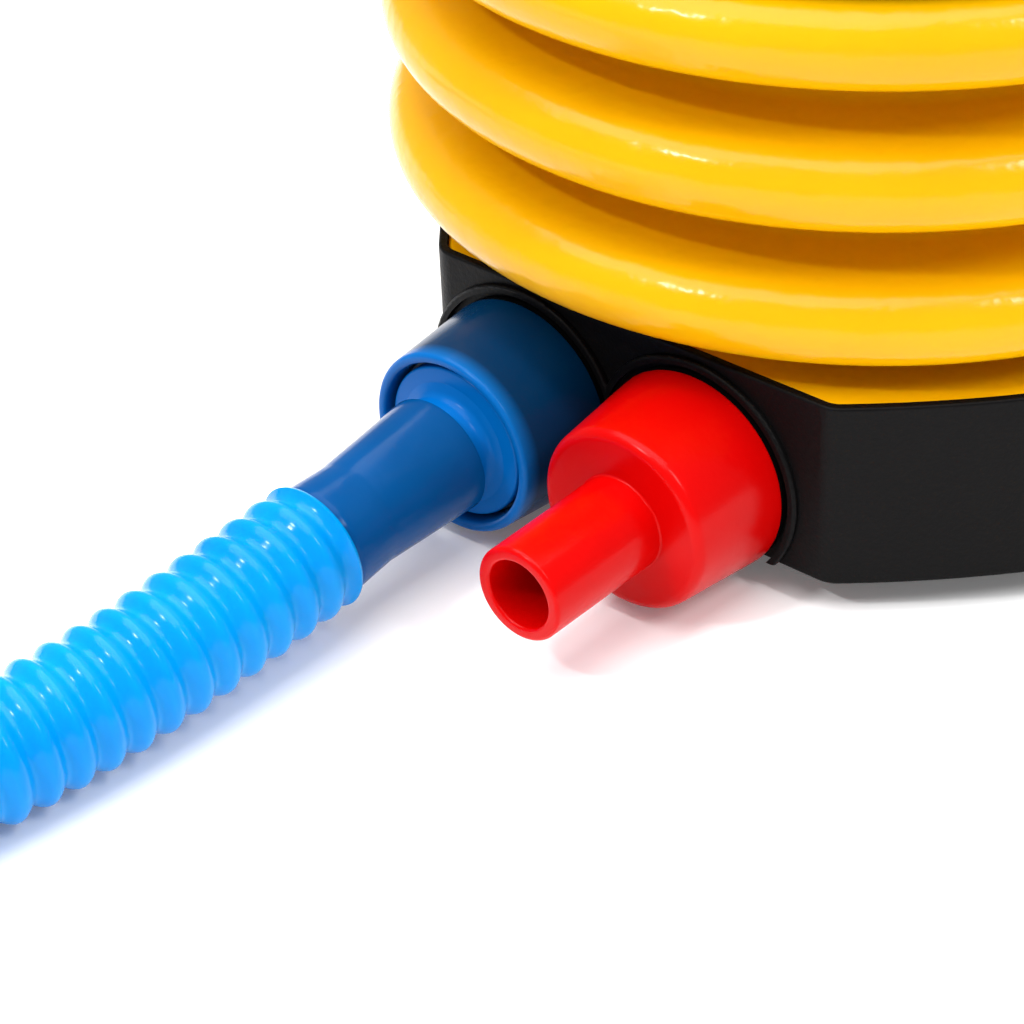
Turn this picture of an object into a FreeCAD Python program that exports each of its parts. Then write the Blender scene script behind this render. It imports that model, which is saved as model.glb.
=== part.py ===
"""Ball inflation pump: a foot bellows on a black casing, with a red inlet nozzle and a hose outlet.

Millimetres, +Z up, Z = 0 on the floor. Shapes are drawn with the bellows axis on X = Y = 0 and the
two ports facing -Y. They are moved along Y when written, so that the origin is under the middle of
the pump, hose not counted.
"""

import FreeCAD, Part
import math
import os

V = FreeCAD.Vector
Y_AXIS = V(0, 1, 0)
Z_AXIS = V(0, 0, 1)

# ---- driving dimensions -------------------------------------------------------------------------
RIDGE_R = 63.5            # outside of the bellows, a 5 inch pump
CREST_R = 5.5             # rounding of a ridge
VALLEY_R = 2.5            # rounding of a valley
VALLEY_DEPTH = 14.0       # ridge to valley, on the radius
BELLOWS_WALL = 1.3
RIDGE_PITCH = 17.8
FIRST_RIDGE_Z = 38.6
RIDGES = 3
NECK_R = 51.0             # bellows neck, at each end
NECK_STEP = 7.3           # from the last ridge to the rounding of the neck
LIP_R = 44.0              # inner edge of each bellows flange
FLANGE_T = 1.2
TOP_FLANGE_R = 56.0

FOOT_H = 4.6              # gap under the casing
CASE_TOP = 29.9
CASE_FRONT = 54.8         # half depth
CASE_SIDE = 56.5          # half width
CASE_FLAT = 33.6          # from the middle to the front wall's end, inlet side
CASE_TURN = 45.5          # angle in degrees from the front wall to the corner wall, inlet side
CASE_FLAT_OUT = 28.0      # the same two, outlet side
CASE_TURN_OUT = 50.0
CASE_BOW = 1.0            # how far the walls of the inlet side bulge
CASE_EDGE = 0.4           # rounding of the outer edges
CASE_CORNER = 4.0
CASE_WALL = 2.0
CASE_LEDGE = 3.6          # wall thickness above the cover's ledge
RIM_T = 1.1
DECK_T = 2.0
COVER_T = 1.5
GASKET_T = 0.8

PORT_X = 13.75            # each port from the middle
PORT_Z = 13.7
COLLAR_R = 15.4           # low lip round each port
COLLAR_PROUD = 0.8
RECESS_R = 14.4           # the cap stands in this recess
RECESS_DEPTH = 1.2
SPIGOT_R = 10.0
SPIGOT_LEN = 8.6
SPIGOT_FLANGE_T = 1.0
DUCT_R = 6.4
DUCT_BORE = 4.9

CAP_R = 13.6              # red cap and blue cup, at the back
CAP_FRONT_R = 12.1
CAP_LEN = 14.35
CAP_ROUND = 1.3
CAP_BORE = 10.1
CAP_BORE_DEPTH = 9.8
NOZZLE_R = 6.25
NOZZLE_BORE = 4.5
NOZZLE_LEN = 18.8
CUP_FRONT_R = 12.4
CUP_LEN = 14.2
SOCKET_R = 10.6
SOCKET_DEPTH = 3.0

PLUG_R = 9.8
PLUG_T = 1.7
PLUG_RECESS = 0.8
TAIL_R = 4.82
TAIL_LEN = 9.2
PLUG_BORE = 3.4
NECK_TUBE_R = 5.0
CUFF_FROM = 4.0           # start of the cuff, from the middle of the plug
CUFF_END = 26.0
CUFF_R = 7.85
CUFF_SMALL_R = 6.75
HOSE_R = 8.3
HOSE_BORE = 6.3
HOSE_LIE_Z = 8.4          # axis of the hose on the floor

VALVE_Z = 16.6
VALVE_SEAT_R = 7.2
VALVE_Y = -40.0           # rear face of both valve seats
VALVE_SEAT_T = 2.0
FLAP_R = 6.2
FLAP_T = 1.0
STEM_R = 1.2
STEM_GAP = 1.6            # free lift of a flap
STEM_HEAD_R = 2.0

SPRING_R = 22.0           # mean radius
SPRING_WIRE = 2.6
SPRING_TURNS = 6.5
SPRING_RUNS = 16          # straight runs in a turn
SEAT_T = 1.5
SEAT_R = 26.0
SEAT_HUB_R = 18.0
SEAT_HUB_H = 4.2

PEDAL_R = 60.0
PEDAL_T = 3.0
PEDAL_SKIRT = 2.8
PEDAL_RIM = 2.6
PAD_R = 55.0
PAD_T = 2.0
PAD_RIB_H = 1.2
PAD_RIB_W = 2.4
PAD_RIB_PITCH = 6.0

SCREW_R = 1.5
SCREW_HEAD_R = 2.8
SCREW_HEAD_H = 1.8
FIT = 0.05                # clearance of a close fit
RING_SCREWS = 6
RING_SCREW_R = 46.6       # pitch radius of the clamp ring screws

# ---- worked out ---------------------------------------------------------------------------------
RIDGE_Z = [FIRST_RIDGE_Z + RIDGE_PITCH * k for k in range(RIDGES)]
FLANGE_TOP = CASE_TOP - 0.4
DECK_TOP = FLANGE_TOP - FLANGE_T
DECK_BOTTOM = DECK_TOP - DECK_T
COVER_TOP = FOOT_H + COVER_T
LEDGE_Z = COVER_TOP + GASKET_T
NECK_TOP_Z = RIDGE_Z[-1] + NECK_STEP
TOP_FLANGE_Z = NECK_TOP_Z + 1.7
PEDAL_Z = TOP_FLANGE_Z + FLANGE_T
COLLAR_Y = -CASE_FRONT - COLLAR_PROUD
RECESS_Y = COLLAR_Y + RECESS_DEPTH
SPIGOT_Y = RECESS_Y - SPIGOT_FLANGE_T
CAP_BACK = SPIGOT_Y - FIT
CAP_FRONT = CAP_BACK - CAP_LEN
NOZZLE_TIP = CAP_FRONT - NOZZLE_LEN
CUP_FRONT = CAP_BACK - CUP_LEN
AXIS_Y = (-NOZZLE_TIP - RIDGE_R) / 2    # puts the origin under the middle of the pump
DUCT_END = -46.5

# The hose leaves the plug a little down, as its weight pulls it.
PLUG_AT = V(-PORT_X, CUP_FRONT + PLUG_RECESS + PLUG_T / 2, PORT_Z)
SAG = V(0, -0.99808, -0.062).normalize()

# Hose route: axis points from the cuff, down to the floor and round beside the pump.
HOSE_ROUTE = [
    PLUG_AT + SAG * CUFF_END,
    V(-14.1, -110.0, 10.9),
    V(-15.8, -130.0, 9.0),
    V(-19.5, -153.0, HOSE_LIE_Z),
    V(-31.2, -189.1, HOSE_LIE_Z),
    V(-58.8, -220.8, HOSE_LIE_Z),
    V(-97.5, -237.2, HOSE_LIE_Z),
    V(-139.4, -234.6, HOSE_LIE_Z),
    V(-175.8, -213.6, HOSE_LIE_Z),
    V(-199.3, -178.8, HOSE_LIE_Z),
    V(-207.4, -143.7, HOSE_LIE_Z),
    V(-207.4, -117.7, HOSE_LIE_Z),
]
END_CUFF_LEN = 18.0


# ---- helpers ------------------------------------------------------------------------------------
def tube(radius, bore, start, axis, length):
    """A round tube, or a rod where bore is 0."""
    solid = Part.makeCylinder(radius, length, start, axis)
    if bore:
        hole = Part.makeCylinder(bore, length + 2, start - axis * 1.0, axis)
        solid = solid.cut(hole)
    return solid


def ring_z(radius, bore, low, high):
    return tube(radius, bore, V(0, 0, low), Z_AXIS, high - low)


def along_y(points, x, z):
    """Turns (y, radius) points about a line parallel to Y at x, z."""
    wire = Part.makePolygon([V(r, y, 0) for y, r in points + points[:1]])
    solid = Part.Face(wire).revolve(V(0, 0, 0), Y_AXIS, 360)
    solid.translate(V(x, 0, z))
    return solid


def round_edges(solid, radius, chosen):
    """Fillets the circular edges that chosen(edge) picks."""
    return solid.makeFillet(radius, [e for e in solid.Edges if chosen(e)])


def circle_at(edge, radius, y):
    """Whether an edge is a full circle of this radius across Y at y."""
    curve = edge.Curve
    if not isinstance(curve, Part.Circle):
        return False
    return abs(curve.Radius - radius) < 0.01 and abs(curve.Center.y - y) < 0.01


def case_corner(flat, turn, inset):
    """Where the front wall and the side wall meet a corner wall, from the middle."""
    turn = math.radians(turn)
    flat_x = flat - inset * math.tan(turn / 2)
    flat_y = CASE_FRONT - (CASE_SIDE - flat) * math.tan(turn)
    flat_y = flat_y - inset * math.tan(math.pi / 4 - turn / 2)
    return flat_x, flat_y


def case_prism(low, high, inset):
    """The casing's eight-sided plan, inset; the inlet side's walls bulge a little."""
    front = CASE_FRONT - inset
    side = CASE_SIDE - inset
    x_in, y_in = case_corner(CASE_FLAT, CASE_TURN, inset)
    x_out, y_out = case_corner(CASE_FLAT_OUT, CASE_TURN_OUT, inset)
    corners = [
        V(-x_out, -front, low), V(x_in, -front, low), V(side, -y_in, low), V(side, y_in, low),
        V(x_in, front, low), V(-x_out, front, low), V(-side, y_out, low), V(-side, -y_out, low),
    ]
    edges = []
    for k, start in enumerate(corners):
        end = corners[(k + 1) % len(corners)]
        middle = (start + end) * 0.5
        if middle.x < x_in / 2:
            edges.append(Part.makeLine(start, end))
        else:
            out = V(middle.x, middle.y, 0).normalize()
            bow = V(middle.x, middle.y, low) + out * CASE_BOW
            edges.append(Part.Arc(start, bow, end).toShape())
    solid = Part.Face(Part.Wire(edges)).extrude(V(0, 0, high - low))
    upright = [e for e in solid.Edges if abs(e.BoundBox.ZLength - (high - low)) < 1e-6]
    return solid.makeFillet(max(CASE_CORNER - inset, 0.8), upright)


def polar(count, radius, offset=0.0):
    """Places evenly round the bellows axis."""
    angles = [2 * math.pi * k / count + offset for k in range(count)]
    return [V(radius * math.cos(a), radius * math.sin(a), 0) for a in angles]


def screw(x, y, head_z, down, shank):
    """A pan-head screw; its head rests on head_z and its shank goes down or up from there."""
    way = -1 if down else 1
    head = Part.makeCylinder(SCREW_HEAD_R, SCREW_HEAD_H, V(x, y, head_z), V(0, 0, -way))
    head = round_edges(head, 0.6, lambda e: abs(e.CenterOfMass.z - (head_z - way * SCREW_HEAD_H)) < 0.01)
    slot = Part.makeBox(3.4, 0.7, 0.8)
    slot.translate(V(x - 1.7, y - 0.35, head_z - way * SCREW_HEAD_H - 0.4))
    body = Part.makeCylinder(SCREW_R, shank, V(x, y, head_z), V(0, 0, way))
    return head.fuse(body).cut(slot).removeSplitter()


# ---- casing -------------------------------------------------------------------------------------
POST_PLACES = [(s * x, y) for x, y in ((47.0, 12.0), (20.0, 44.0), (46.0, -20.0)) for s in (-1, 1)]
FOOT_PLACES = [(sx * 34.5, sy * 32.5) for sx in (-1, 1) for sy in (-1, 1)]
AIRWAY_PLACES = [(-15.0, -31.5), (15.0, -31.5)]
AIRWAY_R = 5.0


def base_case():
    """Casing: outer wall, deck, rim for the bellows flange, and the collars round both ports."""
    solid = case_prism(FOOT_H, CASE_TOP, 0)
    solid = round_edges(solid, CASE_EDGE, lambda e: e.BoundBox.ZLength < 1e-6)
    solid = solid.cut(case_prism(DECK_TOP, CASE_TOP + 1, RIM_T))
    solid = solid.cut(case_prism(FOOT_H - 1, LEDGE_Z, CASE_WALL))
    solid = solid.cut(case_prism(LEDGE_Z, DECK_BOTTOM, CASE_LEDGE))
    for x in (-PORT_X, PORT_X):
        collar = Part.makeCylinder(COLLAR_R, COLLAR_PROUD + 1, V(x, COLLAR_Y, PORT_Z), Y_AXIS)
        collar = round_edges(collar, 0.4, lambda e: circle_at(e, COLLAR_R, COLLAR_Y))
        slab = Part.makeBox(60, 20, CASE_TOP - FOOT_H, V(x - 30, COLLAR_Y - 5, FOOT_H))
        solid = solid.fuse(collar.common(slab))
    for x in (-PORT_X, PORT_X):
        solid = solid.cut(Part.makeCylinder(RECESS_R, RECESS_DEPTH + 5, V(x, RECESS_Y, PORT_Z), -Y_AXIS))
        solid = solid.cut(Part.makeCylinder(DUCT_R + FIT, 10.3, V(x, RECESS_Y - 1, PORT_Z), Y_AXIS))
    for x, y in POST_PLACES:
        solid = solid.fuse(tube(3.8, SCREW_R + FIT, V(x, y, COVER_TOP), Z_AXIS, DECK_BOTTOM - COVER_TOP))
    for x, y in AIRWAY_PLACES:
        solid = solid.cut(Part.makeCylinder(AIRWAY_R, DECK_T + 2, V(x, y, DECK_BOTTOM - 1)))
    for p in polar(RING_SCREWS, RING_SCREW_R, math.pi / 6):
        solid = solid.cut(Part.makeCylinder(SCREW_R + FIT, DECK_T + 2, V(p.x, p.y, DECK_BOTTOM - 1)))
    return solid.removeSplitter()


def base_cover():
    """Bottom plate, with holes for its screws and the feet."""
    solid = case_prism(FOOT_H, COVER_TOP - 0.02, CASE_WALL + 0.15)
    for x, y in POST_PLACES:
        solid = solid.cut(Part.makeCylinder(SCREW_R + FIT, 10, V(x, y, 0)))
    for x, y in FOOT_PLACES:
        solid = solid.cut(Part.makeCylinder(3.0 + FIT, 10, V(x, y, 0)))
    return solid


def cover_gasket():
    frame = case_prism(COVER_TOP, LEDGE_Z - 0.02, CASE_WALL + 0.3)
    return frame.cut(case_prism(COVER_TOP - 1, LEDGE_Z + 1, CASE_LEDGE + 0.8))


def rubber_feet():
    feet = []
    for x, y in FOOT_PLACES:
        pad = Part.makeCylinder(8.0, FOOT_H - 0.02, V(x, y, 0))
        pad = round_edges(pad, 1.0, lambda e: e.CenterOfMass.z < 0.01)
        stem = Part.makeCylinder(3.0, COVER_T + 0.06, V(x, y, FOOT_H - 0.02))
        button = Part.makeCylinder(4.0, 1.4, V(x, y, COVER_TOP + 0.04))
        feet.append(pad.fuse(stem).fuse(button).removeSplitter())
    return Part.Compound(feet)


def cover_screws():
    return Part.Compound([screw(x, y, FOOT_H, False, 12) for x, y in POST_PLACES])


# ---- bellows ------------------------------------------------------------------------------------
def cross_tangent(a, ra, b, rb):
    """Where a line that crosses between two circles touches each, on the outside of circle a."""
    dx, dz = b[0] - a[0], b[1] - a[1]
    between = math.hypot(dx, dz)
    lean = math.acos((ra + rb) / between)
    base = math.atan2(dz, dx)
    turn = -lean if dz > 0 else lean
    at = base + turn
    return (
        (a[0] + ra * math.cos(at), a[1] + ra * math.sin(at)),
        (b[0] - rb * math.cos(at), b[1] - rb * math.sin(at)),
    )


def bellows_profile(shift):
    """One side of the bellows wall from the bottom flange up, as edges; shift moves it inwards."""
    crest = CREST_R - shift
    valley = VALLEY_R + shift
    valley_x = RIDGE_R - VALLEY_DEPTH + VALLEY_R
    neck_x = NECK_R + VALLEY_R
    crest_x = RIDGE_R - CREST_R
    circles = [(neck_x, RIDGE_Z[0] - NECK_STEP, valley, False)]
    for k, z in enumerate(RIDGE_Z):
        circles.append((crest_x, z, crest, True))
        last = k == RIDGES - 1
        if last:
            circles.append((neck_x, NECK_TOP_Z, valley, False))
        else:
            circles.append((valley_x, z + RIDGE_PITCH / 2, valley, False))
    touches = []
    for low, high in zip(circles, circles[1:]):
        if high[3]:
            top, bottom = cross_tangent(high[:2], high[2], low[:2], low[2])
            touches.append((bottom, top))
        else:
            bottom, top = cross_tangent(low[:2], low[2], high[:2], high[2])
            touches.append((bottom, top))
    start = (NECK_R - shift, circles[0][1])
    end = (NECK_R - shift, circles[-1][1])
    edges = []
    arrive = start
    for k, (x, z, radius, convex) in enumerate(circles):
        leave = touches[k][0] if k < len(touches) else end
        side = 1 if convex else -1
        a = math.atan2(arrive[1] - z, arrive[0] - x)
        b = math.atan2(leave[1] - z, leave[0] - x)
        if not convex:
            a, b = a % (2 * math.pi), b % (2 * math.pi)
        m = (a + b) / 2
        mid = V(x + radius * math.cos(m), 0, z + radius * math.sin(m))
        edges.append(Part.Arc(V(arrive[0], 0, arrive[1]), mid, V(leave[0], 0, leave[1])).toShape())
        if k < len(touches):
            reach = touches[k][1]
            edges.append(Part.makeLine(V(leave[0], 0, leave[1]), V(reach[0], 0, reach[1])))
            arrive = touches[k][1]
    return edges


def bellows():
    """Blow-moulded wall with round ridges, an eight-sided flange below and a round one above."""
    outer = bellows_profile(0)
    inner = bellows_profile(BELLOWS_WALL)
    low, high = DECK_TOP, PEDAL_Z
    a, b = NECK_R, NECK_R - BELLOWS_WALL
    bottom_z, top_z = RIDGE_Z[0] - NECK_STEP, NECK_TOP_Z
    ends = [
        Part.makeLine(V(a, 0, low), V(a, 0, bottom_z)),
        Part.makeLine(V(a, 0, top_z), V(a, 0, high)),
        Part.makeLine(V(a, 0, high), V(b, 0, high)),
        Part.makeLine(V(b, 0, high), V(b, 0, top_z)),
        Part.makeLine(V(b, 0, bottom_z), V(b, 0, low)),
        Part.makeLine(V(b, 0, low), V(a, 0, low)),
    ]
    wire = Part.Wire(Part.__sortEdges__(outer + inner + ends))
    solid = Part.Face(wire).revolve(V(0, 0, 0), Z_AXIS, 360)
    foot = case_prism(DECK_TOP, FLANGE_TOP, RIM_T + 0.1)
    foot = foot.cut(Part.makeCylinder(LIP_R, FLANGE_T + 2, V(0, 0, DECK_TOP - 1)))
    head = ring_z(TOP_FLANGE_R, LIP_R, TOP_FLANGE_Z, PEDAL_Z)
    solid = solid.fuse(foot).fuse(head)
    for p in polar(RING_SCREWS, RING_SCREW_R, math.pi / 6):
        for z in (DECK_TOP - 1, TOP_FLANGE_Z - 1):
            solid = solid.cut(Part.makeCylinder(SCREW_R + FIT, FLANGE_T + 2, V(p.x, p.y, z)))
    return solid.removeSplitter()


def clamp_ring(low):
    """Ring inside the bellows that holds a flange's inner lip."""
    solid = ring_z(49.2, LIP_R + 0.3, low, low + 2.4)
    for p in polar(RING_SCREWS, RING_SCREW_R, math.pi / 6):
        solid = solid.cut(Part.makeCylinder(SCREW_R + FIT, 5, V(p.x, p.y, low - 1)))
    return solid


def lower_clamp_ring():
    return clamp_ring(FLANGE_TOP)


def upper_clamp_ring():
    return clamp_ring(TOP_FLANGE_Z - 2.4)


def clamp_screws():
    places = polar(RING_SCREWS, RING_SCREW_R, math.pi / 6)
    return Part.Compound([screw(p.x, p.y, FLANGE_TOP + 2.4, True, 5.5) for p in places])


# ---- spring -------------------------------------------------------------------------------------
def spring_seat(face_z, up):
    """Round seat with a hub that centres the spring; up says which way the hub points."""
    way = 1 if up else -1
    plate = Part.makeCylinder(SEAT_R, SEAT_T, V(0, 0, face_z), V(0, 0, way))
    hub = Part.makeCylinder(SEAT_HUB_R, SEAT_T + SEAT_HUB_H, V(0, 0, face_z), V(0, 0, way))
    hole_start = V(0, 0, face_z - way)
    hole = Part.makeCylinder(SEAT_HUB_R - 2.0, SEAT_T + SEAT_HUB_H + 2, hole_start, V(0, 0, way))
    return plate.fuse(hub).cut(hole).removeSplitter()


def lower_spring_seat():
    return spring_seat(DECK_TOP, True)


def upper_spring_seat():
    return spring_seat(PEDAL_Z, False)


def return_spring():
    """Compression spring; each turn is a ring of short straight runs with mitred corners."""
    low = DECK_TOP + SEAT_T + SPRING_WIRE / 2 + FIT
    high = PEDAL_Z - SEAT_T - SPRING_WIRE / 2 - FIT
    count = int(SPRING_TURNS * SPRING_RUNS)
    points = []
    for k in range(count + 1):
        a = 2 * math.pi * k / SPRING_RUNS
        points.append(V(SPRING_R * math.cos(a), SPRING_R * math.sin(a), low + (high - low) * k / count))
    first_way = (points[1] - points[0]).normalize()
    section = Part.Wire(Part.makeCircle(SPRING_WIRE / 2, points[0], first_way))
    mitred = 1
    return Part.makePolygon(points).makePipeShell([section], True, False, mitred)


# ---- pedal --------------------------------------------------------------------------------------
def pedal_plate():
    """Round pedal with a skirt over the bellows flange, a raised rim and ribs below."""
    skirt_z = PEDAL_Z - PEDAL_SKIRT
    solid = Part.makeCylinder(PEDAL_R, PEDAL_SKIRT + PEDAL_T + PEDAL_RIM, V(0, 0, skirt_z))
    solid = round_edges(solid, 1.6, lambda e: e.CenterOfMass.z > PEDAL_Z)
    solid = solid.cut(Part.makeCylinder(PAD_R + 0.3, PEDAL_RIM + 1, V(0, 0, PEDAL_Z + PEDAL_T)))
    solid = solid.cut(Part.makeCylinder(TOP_FLANGE_R + 1.0, PEDAL_SKIRT + 1, V(0, 0, skirt_z - 1)))
    for k in range(8):
        rib = Part.makeBox(15, 1.6, 2.0, V(27.5, -0.8, PEDAL_Z - 2.0))
        rib.rotate(V(0, 0, 0), Z_AXIS, 45 * k + 22.5)
        solid = solid.fuse(rib)
    for p in polar(RING_SCREWS, RING_SCREW_R, math.pi / 6):
        solid = solid.cut(Part.makeCylinder(SCREW_R + FIT, 12, V(p.x, p.y, PEDAL_Z - 1)))
        sink = V(p.x, p.y, PEDAL_Z + PEDAL_T - SCREW_HEAD_H - 0.1)
        solid = solid.cut(Part.makeCylinder(SCREW_HEAD_R + 0.2, 6, sink))
    return solid.removeSplitter()


def pedal_screws():
    places = polar(RING_SCREWS, RING_SCREW_R, math.pi / 6)
    sink_z = PEDAL_Z + PEDAL_T - SCREW_HEAD_H - 0.1
    return Part.Compound([screw(p.x, p.y, sink_z, True, 5.6) for p in places])


def tread_pad():
    """Rubber pad with straight ribs across it and a plain border."""
    low = PEDAL_Z + PEDAL_T + 0.02
    solid = Part.makeCylinder(PAD_R, PAD_T, V(0, 0, low))
    field = Part.makeCylinder(PAD_R - 4.0, PAD_T + PAD_RIB_H, V(0, 0, low))
    count = int((PAD_R - 6.0) / PAD_RIB_PITCH)
    for k in range(-count, count + 1):
        bar_start = V(-PAD_R, k * PAD_RIB_PITCH - PAD_RIB_W / 2, low)
        bar = Part.makeBox(2 * PAD_R, PAD_RIB_W, PAD_T + PAD_RIB_H, bar_start)
        solid = solid.fuse(bar.common(field))
    return solid.removeSplitter()


# ---- ports and valves ---------------------------------------------------------------------------
def spigot(x):
    """Port tube: a flange in the collar, a spigot for the cap and a duct into the valve box."""
    flange = tube(RECESS_R - 0.9, DUCT_BORE, V(x, SPIGOT_Y, PORT_Z), Y_AXIS, SPIGOT_FLANGE_T)
    flange = flange.common(Part.makeBox(40, 20, 40, V(x - 20, SPIGOT_Y - 5, FOOT_H + 0.2)))
    outside = tube(SPIGOT_R, DUCT_BORE, V(x, SPIGOT_Y - SPIGOT_LEN, PORT_Z), Y_AXIS, SPIGOT_LEN)
    duct = tube(DUCT_R, DUCT_BORE, V(x, RECESS_Y, PORT_Z), Y_AXIS, DUCT_END - RECESS_Y)
    return flange.fuse(outside).fuse(duct).removeSplitter()


def port_gasket(x):
    end = SPIGOT_Y - SPIGOT_LEN
    return tube(SPIGOT_R - 0.3, DUCT_BORE + 0.5, V(x, end - 1.05, PORT_Z), Y_AXIS, 1.0)


BOX_X = 25.8
BOX_FRONT = -51.0
BOX_BACK = -23.0
BOX_FLOOR = LEDGE_Z + 0.2
BOX_WALL = 1.6


def valve_box():
    """Box under the deck: an inlet side and an outlet side, each split by a wall that holds a valve."""
    top = DECK_BOTTOM - 0.02
    corner = V(-BOX_X, BOX_FRONT, BOX_FLOOR)
    solid = Part.makeBox(2 * BOX_X, BOX_BACK - BOX_FRONT, top - BOX_FLOOR, corner)
    wall_front = VALVE_Y - VALVE_SEAT_T
    for side in (-1, 1):
        for y0, y1 in ((BOX_FRONT + BOX_WALL, wall_front), (VALVE_Y, BOX_BACK - BOX_WALL)):
            floor = V(0, y0, BOX_FLOOR + BOX_WALL)
            room = Part.makeBox(BOX_X - 1.5 * BOX_WALL, y1 - y0, top - BOX_FLOOR, floor)
            x0 = BOX_WALL / 2 if side > 0 else -BOX_X + BOX_WALL
            room.translate(V(x0, 0, 0))
            solid = solid.cut(room)
        x = side * PORT_X
        solid = solid.cut(Part.makeCylinder(DUCT_R + FIT, 6, V(x, BOX_FRONT - 1, PORT_Z), Y_AXIS))
        seat_start = V(x, wall_front - 1, VALVE_Z)
        solid = solid.cut(Part.makeCylinder(VALVE_SEAT_R + FIT, VALVE_SEAT_T + 2, seat_start, Y_AXIS))
    return solid


def valve_seat(x):
    """Round seat with a hole for the flap's stem and six air holes."""
    front = VALVE_Y - VALVE_SEAT_T
    solid = tube(VALVE_SEAT_R, STEM_R + FIT, V(x, front, VALVE_Z), Y_AXIS, VALVE_SEAT_T)
    for k in range(6):
        a = math.radians(60 * k)
        at = V(x + 3.9 * math.cos(a), front - 1, VALVE_Z + 3.9 * math.sin(a))
        solid = solid.cut(Part.makeCylinder(1.3, VALVE_SEAT_T + 2, at, Y_AXIS))
    return solid


def valve_flap(x, inwards):
    """Mushroom flap: a disc on one side of the seat and a headed stem on the other."""
    way = 1 if inwards else -1
    face = VALVE_Y if inwards else VALVE_Y - VALVE_SEAT_T
    far = VALVE_SEAT_T + STEM_GAP
    disc = Part.makeCylinder(FLAP_R, FLAP_T, V(x, face + 0.03 * way, VALVE_Z), V(0, way, 0))
    stem = Part.makeCylinder(STEM_R, far + 0.5, V(x, face + 0.4 * way, VALVE_Z), V(0, -way, 0))
    head = Part.makeCylinder(STEM_HEAD_R, 1.0, V(x, face - far * way, VALVE_Z), V(0, -way, 0))
    return disc.fuse(stem).fuse(head).removeSplitter()


def inlet_cap():
    """Red cap over the inlet spigot, drawn in to a nozzle with an open bore."""
    bore_end = CAP_BACK - CAP_BORE_DEPTH
    solid = along_y(
        [
            (CAP_BACK, CAP_BORE), (CAP_BACK, CAP_R), (CAP_FRONT, CAP_FRONT_R), (CAP_FRONT, NOZZLE_R),
            (NOZZLE_TIP, NOZZLE_R), (NOZZLE_TIP, NOZZLE_BORE), (bore_end, NOZZLE_BORE),
            (bore_end, CAP_BORE),
        ],
        PORT_X,
        PORT_Z,
    )
    solid = round_edges(solid, CAP_ROUND, lambda e: circle_at(e, CAP_FRONT_R, CAP_FRONT))
    solid = round_edges(solid, 0.6, lambda e: circle_at(e, NOZZLE_R, CAP_FRONT))
    return round_edges(solid, 0.5, lambda e: circle_at(e, NOZZLE_R, NOZZLE_TIP))


def outlet_cup():
    """Blue cup over the outlet spigot, with a socket in front for the hose plug."""
    bore_end = CAP_BACK - CAP_BORE_DEPTH
    web_end = CUP_FRONT + SOCKET_DEPTH
    solid = along_y(
        [
            (CAP_BACK, CAP_BORE), (CAP_BACK, CAP_R), (CUP_FRONT, CUP_FRONT_R), (CUP_FRONT, SOCKET_R),
            (web_end, SOCKET_R), (web_end, DUCT_BORE), (bore_end, DUCT_BORE), (bore_end, CAP_BORE),
        ],
        -PORT_X,
        PORT_Z,
    )
    return round_edges(solid, 0.7, lambda e: circle_at(e, CUP_FRONT_R, CUP_FRONT))


# ---- hose and what is on it ---------------------------------------------------------------------
def hose_plug():
    """Plug: a disc in the cup's socket, a tail in the spigot and a neck for the cuff."""
    back = PLUG_AT.y + PLUG_T / 2
    disc = Part.makeCylinder(PLUG_R, PLUG_T, V(PLUG_AT.x, back, PORT_Z), -Y_AXIS)
    disc = round_edges(disc, 0.4, lambda e: circle_at(e, PLUG_R, back - PLUG_T))
    tail = Part.makeCylinder(TAIL_R, TAIL_LEN + 0.5, V(PLUG_AT.x, back - 0.5, PORT_Z), Y_AXIS)
    neck = Part.makeCylinder(NECK_TUBE_R, CUFF_END - 3.0, PLUG_AT, SAG)
    solid = disc.fuse(tail).fuse(neck)
    bore_start = V(PLUG_AT.x, PLUG_AT.y, PORT_Z)
    solid = solid.cut(Part.makeCylinder(PLUG_BORE, TAIL_LEN + 6, bore_start, Y_AXIS))
    solid = solid.cut(Part.makeCylinder(PLUG_BORE, CUFF_END + 2, PLUG_AT, SAG))
    return solid.cut(Part.makeSphere(PLUG_BORE, PLUG_AT)).removeSplitter()


def plug_seal():
    back = PLUG_AT.y + PLUG_T / 2
    return tube(PLUG_R - 0.3, TAIL_R + 0.15, V(PLUG_AT.x, back + 0.02, PORT_Z), Y_AXIS, 0.42)


def sleeve(start, axis, first_r, last_r, bore, length):
    """Tapered sleeve with a bore."""
    solid = Part.makeCone(first_r, last_r, length, start, axis)
    wide = max(first_r, last_r) - 0.01
    solid = round_edges(solid, 0.7, lambda e: isinstance(e.Curve, Part.Circle) and e.Curve.Radius > wide)
    return solid.cut(Part.makeCylinder(bore, length + 2, start - axis * 1.0, axis))


def hose_cuff():
    start = PLUG_AT + SAG * CUFF_FROM
    return sleeve(start, SAG, CUFF_R, CUFF_SMALL_R, NECK_TUBE_R, CUFF_END - CUFF_FROM - FIT)


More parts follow.
